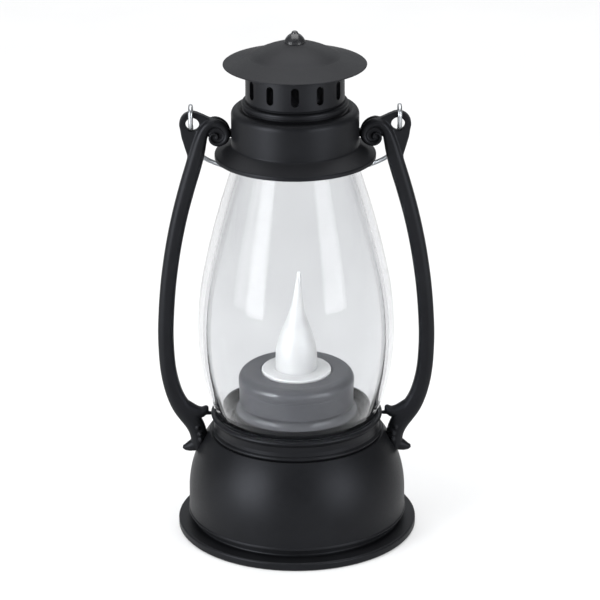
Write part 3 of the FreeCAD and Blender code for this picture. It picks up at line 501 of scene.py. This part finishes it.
def fused(pieces, voxel, smoothing):
    """Join closed meshes, remesh them into one skin and relax it."""
    whole = bmesh.new()
    for mesh in pieces:
        whole.from_mesh(mesh)
        bpy.data.meshes.remove(mesh)
    mesh = bpy.data.meshes.new("fuse")
    whole.to_mesh(mesh)
    whole.free()
    obj = bpy.data.objects.new("fuse", mesh)
    bpy.context.scene.collection.objects.link(obj)
    remesh = obj.modifiers.new("skin", "REMESH")
    remesh.mode = "VOXEL"
    remesh.voxel_size = voxel
    relax = obj.modifiers.new("relax", "SMOOTH")
    relax.factor = 0.5
    relax.iterations = smoothing
    graph = bpy.context.evaluated_depsgraph_get()
    result = bpy.data.meshes.new_from_object(obj.evaluated_get(graph))
    bpy.data.objects.remove(obj)
    bpy.data.meshes.remove(mesh)
    return result


def made(shape, *args):
    """The closed mesh that shape draws into a new bmesh."""
    bm = bmesh.new()
    shape(bm, *args)
    return part_mesh(bm)


def ball(bm, x, y, z, r):
    place = Matrix.Translation((x * MM, y * MM, z * MM))
    bmesh.ops.create_uvsphere(bm, u_segments=16, v_segments=10, radius=r * MM, matrix=place)


def coil_path(side):
    path = []
    for a, r, w in smooth_curve(COIL, 120):
        t = math.radians(a)
        x = VOLUTE[0] + r * math.cos(t)
        z = VOLUTE[1] + r * math.sin(t)
        path.append((x, side * (COIL_FACE - 0.75 * w), z, w))
    return path


def core_outline():
    angles, distances = zip(*CORE)
    outline = []
    for a in np.linspace(angles[0], angles[-1], 60):
        r = np.interp(a, angles, distances)
        t = math.radians(a)
        outline.append((VOLUTE[0] + r * math.cos(t), VOLUTE[1] + r * math.sin(t)))
    return outline


def arm_mesh():
    half = EYE_T / 2
    pieces = [made(sweep, smooth_curve(BAR, 150), SECTION)]
    for side in (-1, 1):
        pieces.append(made(horn, coil_path(side), 0.85))
    pieces.append(made(plate, core_outline(), -VOLUTE_CORE_T / 2, VOLUTE_CORE_T / 2))
    pieces.append(made(ring_plate, EYE[0], EYE[1], EYE_HOLE_R, EYE_R, -half, half))
    below = arc(EYE[0], EYE[1], EYE_HOLE_R + WEB_OVERLAP, -175, -5, 20)
    pieces.append(made(plate, below + list(WEB_BELOW), -half, half))
    beside = arc(EYE[0], EYE[1], EYE_HOLE_R + WEB_OVERLAP, 185, 110, 12)
    pieces.append(made(plate, beside + list(WEB_BESIDE), -half, half))
    for flat, points in HORNS:
        pieces.append(made(horn, [(x, 0, z, r) for x, z, r in points], flat))
    for side in (-1, 1):
        for x, z, r in BEADS:
            pieces.append(made(ball, x, side * BEAD_Y, z, r))
    return fused(pieces, VOXEL * MM, RELAX_TURNS)


def build_arms():
    mesh = arm_mesh()
    for name, node, sign in (("arm_right_cast", "arm_right", 1), ("arm_left_cast", "arm_left", -1)):
        bm = bmesh.new()
        bm.from_mesh(mesh)
        if sign < 0:
            bmesh.ops.scale(bm, vec=(-1, 1, 1), verts=bm.verts)
            bmesh.ops.reverse_faces(bm, faces=bm.faces)
        obj = to_object(name, bm, BLACK, "lantern")
        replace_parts(obj, node)
    bpy.data.meshes.remove(mesh)


build_arms()


# ------------------------------------------------------------------ stage
FLOOR_HALF = 6.0
FLOOR_Z = -0.0001
FLOOR_LIFT = 0.355           # white added to the floor so that it reads as plain paper

LAMP_COLOUR = (0.955, 0.975, 1.0)
# name, azimuth (0 is the camera's side, positive to the right), distance, low, high, width, radiance
SOFT_BOXES = (
    ("key_left", -49, 0.45, 0.01, 0.31, 0.175, 17.2),
    ("wing_left", -69, 0.45, 0.02, 0.31, 0.143, 4.6),
    ("fill_right", 48, 0.45, 0.03, 0.29, 0.215, 10.4),
    ("backdrop", 180, 1.3, 0.35, 1.5, 2.4, 0.85),
)
OVERHEAD_HEIGHT = 1.1
OVERHEAD_SIZE = 1.2
OVERHEAD_RADIANCE = 4.35
SKY_COLOUR = (0.93, 0.96, 1.0)
SKY_STRENGTH = 0.16

SENSOR = 36.0
LENS = 184.9
PITCH, ROLL = 20.98, -0.25
CAMERA_PLACE = (0.00095, -0.6904, 0.3228)


def build_floor():
    mat, tree, bsdf, here = nodes_for("stage_floor")
    grain = noise(tree, here, 0.05, 2.0)
    colour = blend_colour(tree, grain, (0.40, 0.40, 0.40), (0.44, 0.44, 0.44))
    tree.links.new(colour, bsdf.inputs["Base Color"])
    bsdf.inputs["Roughness"].default_value = 0.9
    bsdf.inputs["Specular IOR Level"].default_value = 0.0
    bsdf.inputs["Emission Color"].default_value = (1, 1, 1, 1)
    bsdf.inputs["Emission Strength"].default_value = FLOOR_LIFT
    bm = bmesh.new()
    corners = [bm.verts.new((x * FLOOR_HALF, y * FLOOR_HALF, FLOOR_Z))
               for x, y in ((-1, -1), (1, -1), (1, 1), (-1, 1))]
    bm.faces.new(corners)
    mesh = bpy.data.meshes.new("floor")
    bm.to_mesh(mesh)
    bm.free()
    mesh.materials.append(mat)
    obj = bpy.data.objects.new("floor", mesh)
    bpy.context.scene.collection.objects.link(obj)


def soft_box(name, azimuth, distance, low, high, width, radiance):
    """Upright soft box facing the lantern."""
    data = bpy.data.lights.new(name, "AREA")
    data.shape = "RECTANGLE"
    tall = high - low
    data.size, data.size_y = width, tall
    data.energy = radiance * math.pi * width * tall
    data.color = LAMP_COLOUR
    a = math.radians(azimuth)
    place = Vector((math.sin(a) * distance, -math.cos(a) * distance, (low + high) / 2))
    aim = Vector((0, 0, place.z))
    obj = bpy.data.objects.new(name, data)
    obj.location = place
    obj.rotation_euler = (aim - place).to_track_quat("-Z", "Y").to_euler()
    bpy.context.scene.collection.objects.link(obj)


def build_lights():
    for box in SOFT_BOXES:
        soft_box(*box)
    data = bpy.data.lights.new("overhead", "AREA")
    data.shape = "SQUARE"
    data.size = OVERHEAD_SIZE
    data.energy = OVERHEAD_RADIANCE * math.pi * OVERHEAD_SIZE ** 2
    obj = bpy.data.objects.new("overhead", data)
    obj.location = (0, 0.2, OVERHEAD_HEIGHT)
    bpy.context.scene.collection.objects.link(obj)
    world = bpy.data.worlds.new("studio")
    world.use_nodes = True
    sky = world.node_tree.nodes["Background"]
    sky.inputs["Color"].default_value = (*SKY_COLOUR, 1)
    sky.inputs["Strength"].default_value = SKY_STRENGTH
    bpy.context.scene.world = world


def build_camera():
    data = bpy.data.cameras.new("camera")
    data.sensor_width = SENSOR
    data.lens = LENS
    data.clip_start = 0.05
    data.clip_end = 30.0
    obj = bpy.data.objects.new("camera", data)
    turn = Matrix.Rotation(math.radians(90 - PITCH), 4, "X") @ Matrix.Rotation(math.radians(ROLL), 4, "Z")
    obj.matrix_world = Matrix.Translation(CAMERA_PLACE) @ turn
    bpy.context.scene.collection.objects.link(obj)
    bpy.context.scene.camera = obj


build_floor()
build_lights()
build_camera()
bpy.context.scene.view_settings.view_transform = "Standard"
